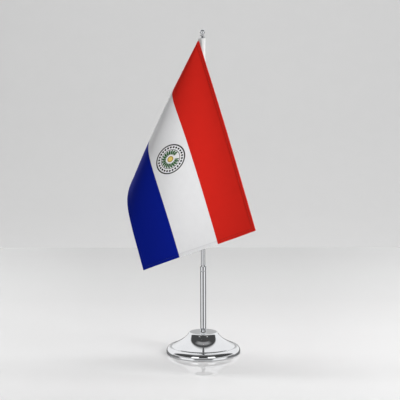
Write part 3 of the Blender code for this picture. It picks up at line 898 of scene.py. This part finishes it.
# =====================================================================
# floor, backdrop, lights
# =====================================================================
def slab(name, xs, ys, rows):
    """Open sheet from rows of (y, z) swept along x."""
    verts = [(x, y, z) for y, z in rows for x in xs]
    n = len(xs)
    faces = [(i * n + j, i * n + j + 1, (i + 1) * n + j + 1, (i + 1) * n + j)
             for i in range(len(rows) - 1) for j in range(n - 1)]
    me = bpy.data.meshes.new(name)
    me.from_pydata(verts, [], faces)
    me.shade_smooth()
    ob = bpy.data.objects.new(name, me)
    bpy.context.scene.collection.objects.link(ob)
    return ob


def paper(name, stops, rough, spec, low, high):
    """Pale paper whose tone falls off with distance and height: painted shade in place of light falloff."""
    mat, nt, p = new_material(name)
    co = nt.coords()
    x, y, z = nt.sep(co)
    # painted shade: a tone ramp that darkens the paper with distance and height
    painted_falloff = nt.ramp(nt.span(nt.math('ADD', y, nt.math('MULTIPLY', z, 1.2)), low, high), stops)
    nt.put(p.inputs["Base Color"], nt.mix(nt.span(nt.noise(co, 30.0, 3.0), 0.3, 0.7, 0.0, 0.02), painted_falloff, (0.7, 0.7, 0.7)))
    p.inputs["Roughness"].default_value = rough
    p.inputs["Specular IOR Level"].default_value = spec
    return mat


XS = [-4.5, -1.5, 0.0, 1.5, 4.5]
floor = slab("studio_floor", XS, None, [(-4.0 + 6.0 * k / 12, 0.0) for k in range(13)])
# painted shade: the floor darkens away from the camera towards the wall
floor.data.materials.append(paper("floor_pale", [(w, (g, g, g)) for w, g in ((0.0, 0.97), (0.29, 0.96), (0.373, 0.855), (0.437, 0.72),
                                                               (0.566, 0.56))],
                                  0.02, 1.0, -1.0, 2.0))
BEND_AT, BEND_R = 0.75, 0.75
wall = slab("studio_wall", XS, None, [(BEND_AT, -0.002)] + [
    (BEND_AT + BEND_R * math.sin(w), BEND_R * (1 - math.cos(w))) for w in (math.pi / 2 * k / 24 for k in range(1, 25))]
    + [(BEND_AT + BEND_R, BEND_R + 2.45 * k / 6) for k in range(1, 7)])
# painted shade: the wall darkens with height
wall.data.materials.append(paper("wall_pale", [(0.0, (0.54, 0.54, 0.54)), (0.25, (0.48, 0.48, 0.48)),
                                               (0.5, (0.45, 0.45, 0.45)), (1.0, (0.43, 0.43, 0.43))], 0.8, 0.0, 0.6, 2.4))


def one_sided(mat):
    """Only the front of the paper shows, so the stand can be seen from behind too."""
    nodes, links = mat.node_tree.nodes, mat.node_tree.links
    out = next(n for n in nodes if n.type == 'OUTPUT_MATERIAL')
    face = out.inputs["Surface"].links[0].from_socket
    side, clear, mixer = (nodes.new("ShaderNode" + kind) for kind in ("NewGeometry", "BsdfTransparent", "MixShader"))
    links.new(side.outputs["Backfacing"], mixer.inputs[0])
    links.new(face, mixer.inputs[1])
    links.new(clear.outputs["BSDF"], mixer.inputs[2])
    links.new(mixer.outputs["Shader"], out.inputs["Surface"])


one_sided(wall.data.materials[0])
wall.visible_glossy = False
floor.visible_glossy = False


def area(name, place, aim, size, power, color=(1.0, 1.0, 1.0), spread=math.pi, glossy=True, diffuse=True):
    data = bpy.data.lights.new(name, 'AREA')
    data.shape = 'RECTANGLE'
    data.size, data.size_y = size
    data.energy = power
    data.color = color
    data.spread = spread
    ob = bpy.data.objects.new(name, data)
    ob.location = place
    ob.rotation_euler = (Vector(aim) - Vector(place)).to_track_quat('-Z', 'Y').to_euler()
    ob.visible_glossy = glossy
    ob.visible_diffuse = diffuse
    bpy.context.scene.collection.objects.link(ob)
    return ob


def snoot(name, place, aim, power, degrees):
    data = bpy.data.lights.new(name, 'SPOT')
    data.energy = power
    data.spot_size = math.radians(degrees)
    data.spot_blend = 1.0
    data.shadow_soft_size = 0.12
    ob = bpy.data.objects.new(name, data)
    ob.location = place
    ob.rotation_euler = (Vector(aim) - Vector(place)).to_track_quat('-Z', 'Y').to_euler()
    ob.visible_glossy = False
    bpy.context.scene.collection.objects.link(ob)
    return ob


area("key_right", (1.40, -0.90, 0.90), (0.0, 0.0, 0.25), (0.50, 0.90), 16.5, glossy=False)
snoot("key_low", (1.0, -1.2, 0.32), (-0.01, -0.03, 0.25), 84.0, 18.0)
area("overhead", (0.0, 0.1, 2.3), (0.0, 0.1, 0.0), (1.6, 1.6), 9.0, glossy=False)
area("wall_wash", (0.0, 0.45, 1.9), (0.0, 1.55, 0.75), (3.6, 0.5), 56.0, glossy=False)


def studio_world():
    """Nearly black for the eye and for soft light; what polished metal sees is
    a bright room behind, a dark one in front and two tall softboxes."""
    world = bpy.data.worlds.new("studio")
    bpy.context.scene.world = world
    world.use_nodes = True
    w = Nodes(world.node_tree)
    x, y, z = w.sep(w.coords("Generated"))
    ax = w.math('ABSOLUTE', x)
    # room behind the stand: greyer just above the horizon
    back = w.math('MAXIMUM', w.span(z, 0.26, 0.42, 0.0, 1.0), w.span(ax, 0.08, 0.30, 0.0, 1.0))
    back = w.span(back, 0.0, 1.0, 0.52, 1.0)
    # dark ceiling and front, with a soft panel straight overhead
    panel = w.math('MULTIPLY', w.span(w.math('ABSOLUTE', w.math('SUBTRACT', y, 0.02)), 0.08, 0.18, 1.0, 0.0), w.span(ax, 0.22, 0.42, 1.0, 0.0))
    panel = w.math('MULTIPLY', panel, w.span(z, 0.3, 0.6))
    front = w.math('ADD', w.math('ADD', 0.075, w.math('MULTIPLY', w.span(z, 0.06, 0.12), w.span(z, 0.25, 0.32, 0.75, 0.0))), w.math('MULTIPLY', panel, 0.30))
    azim = w.math('ARCTAN2', ax, w.math('MULTIPLY', y, -1.0))       # 0 = straight ahead of the stand
    box = w.math('MULTIPLY', w.span(azim, 0.25, 0.28), w.span(azim, 0.67, 0.72, 1.0, 0.0))
    tall = w.math('MULTIPLY', w.span(z, 0.32, 0.36), w.span(z, 0.665, 0.70, 1.0, 0.0))
    front = w.math('ADD', front, w.math('MULTIPLY', w.math('MULTIPLY', box, tall), 1.6))
    upper = w.mix(w.span(y, 0.26, 0.34), w.comb(front, front, front), w.comb(back, back, back))
    # below the horizon: the floor as the tubes see it
    side = w.math('MULTIPLY', w.span(azim, 0.45, 0.60), w.span(azim, 1.25, 1.45, 1.0, 0.0))
    lows = w.math('ADD', w.span(z, -0.50, -0.34, 0.62, 0.20), w.math('MULTIPLY', side, w.span(z, -0.50, -0.34, 0.22, 0.90)))
    tone = w.mix(w.span(z, -0.03, 0.03), w.comb(lows, lows, lows), upper)
    path = w.n.new("ShaderNodeLightPath")
    bg = world.node_tree.nodes["Background"]
    w.put(bg.inputs["Color"], w.mix(path.outputs["Is Glossy Ray"], (0.02, 0.02, 0.02), tone))
    bg.inputs["Strength"].default_value = 1.0


studio_world()
